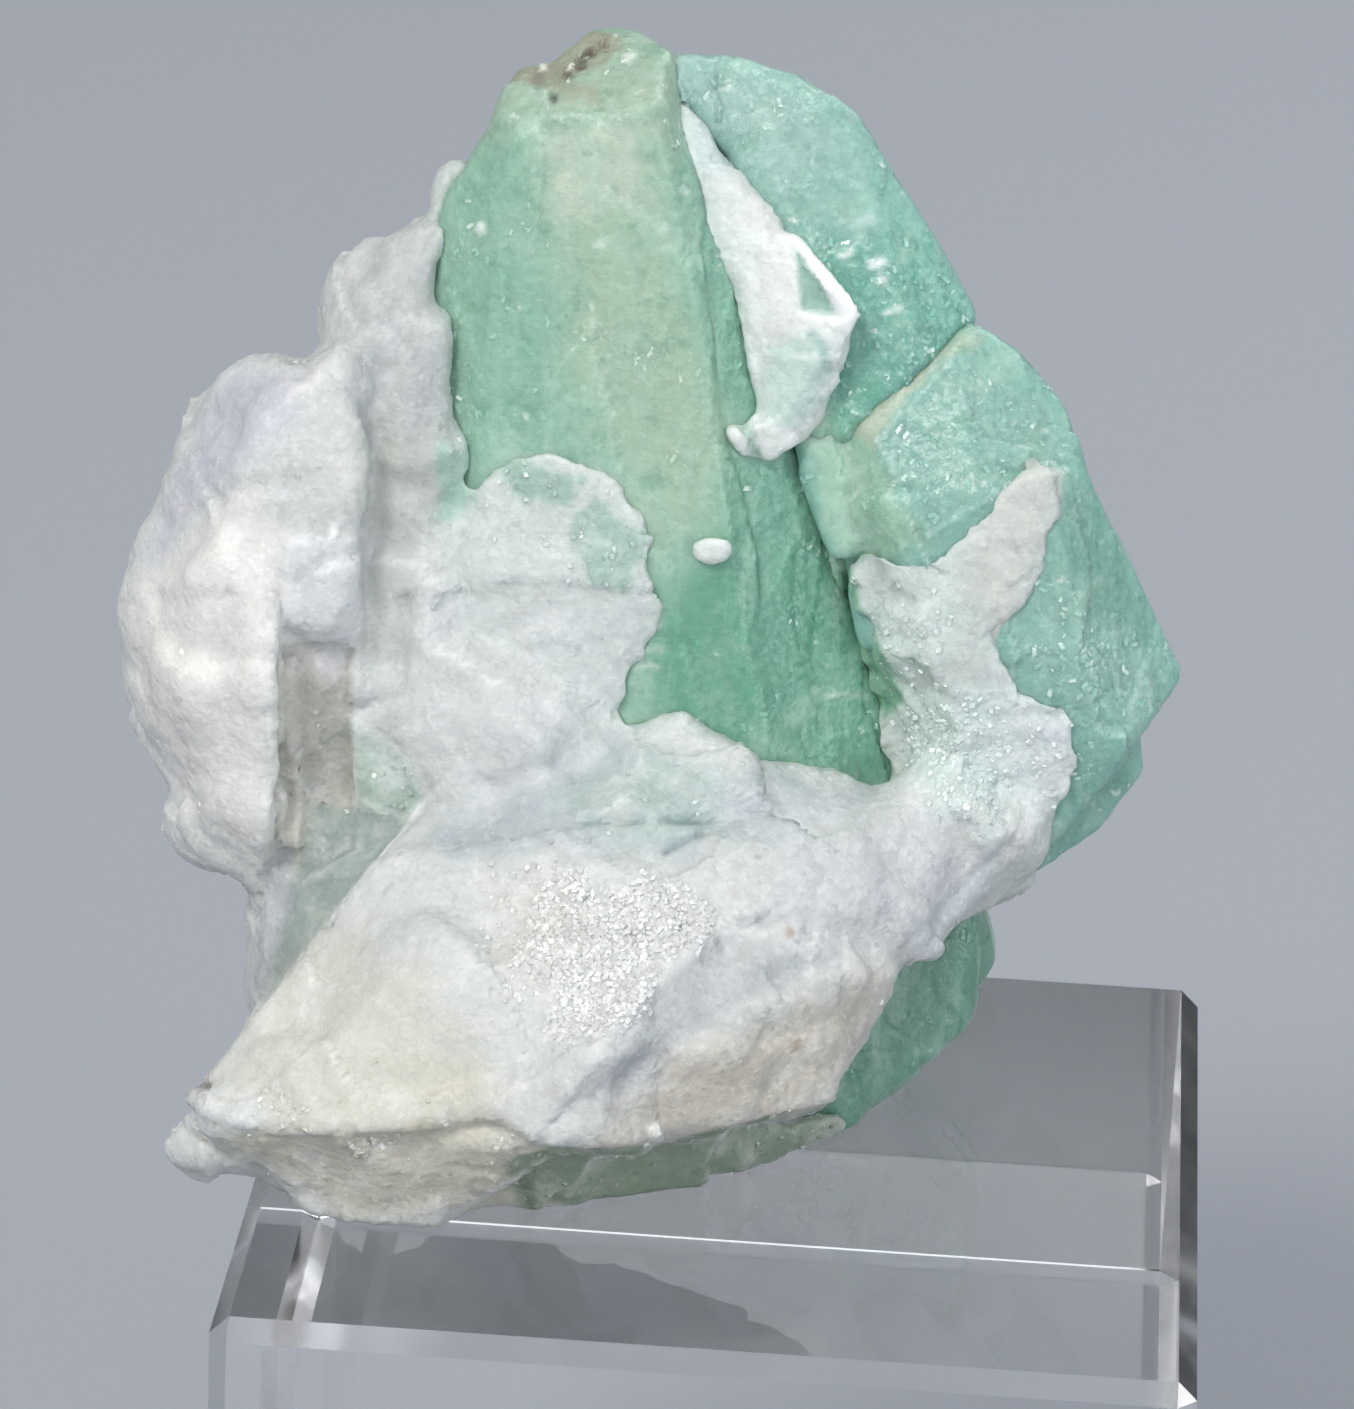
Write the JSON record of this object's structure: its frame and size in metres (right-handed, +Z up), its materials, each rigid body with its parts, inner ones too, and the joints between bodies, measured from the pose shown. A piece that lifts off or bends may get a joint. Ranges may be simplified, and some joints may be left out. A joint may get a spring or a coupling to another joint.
{
  "type": "emerald crystal specimen on a display block",
  "caption": "Pale green emerald crystals in a white calcite and quartz matrix, lying loose on a clear chamfered acrylic display cube.",
  "frame": {"origin": "centre of the display block's underside", "axes": "+Z up, +X to the right of the specimen's good face, which looks along -Y"},
  "size_m": [0.038, 0.0318, 0.0691],
  "materials": {
    "clear_acrylic": "polished clear cast acrylic",
    "beryl": "waxy to vitreous, cloudy pale green, lightly striated",
    "calcite": "broken, sugary and cleaved, with small bright sparkles"
  },
  "bodies": {
    "root": {"display_block": "clear_acrylic", "emerald_main_crystal": "beryl", "emerald_side_crystal": "beryl", "emerald_upper_crystal": "beryl", "matrix": "calcite", "matrix_sliver": "calcite"}
  },
  "joints": []
}
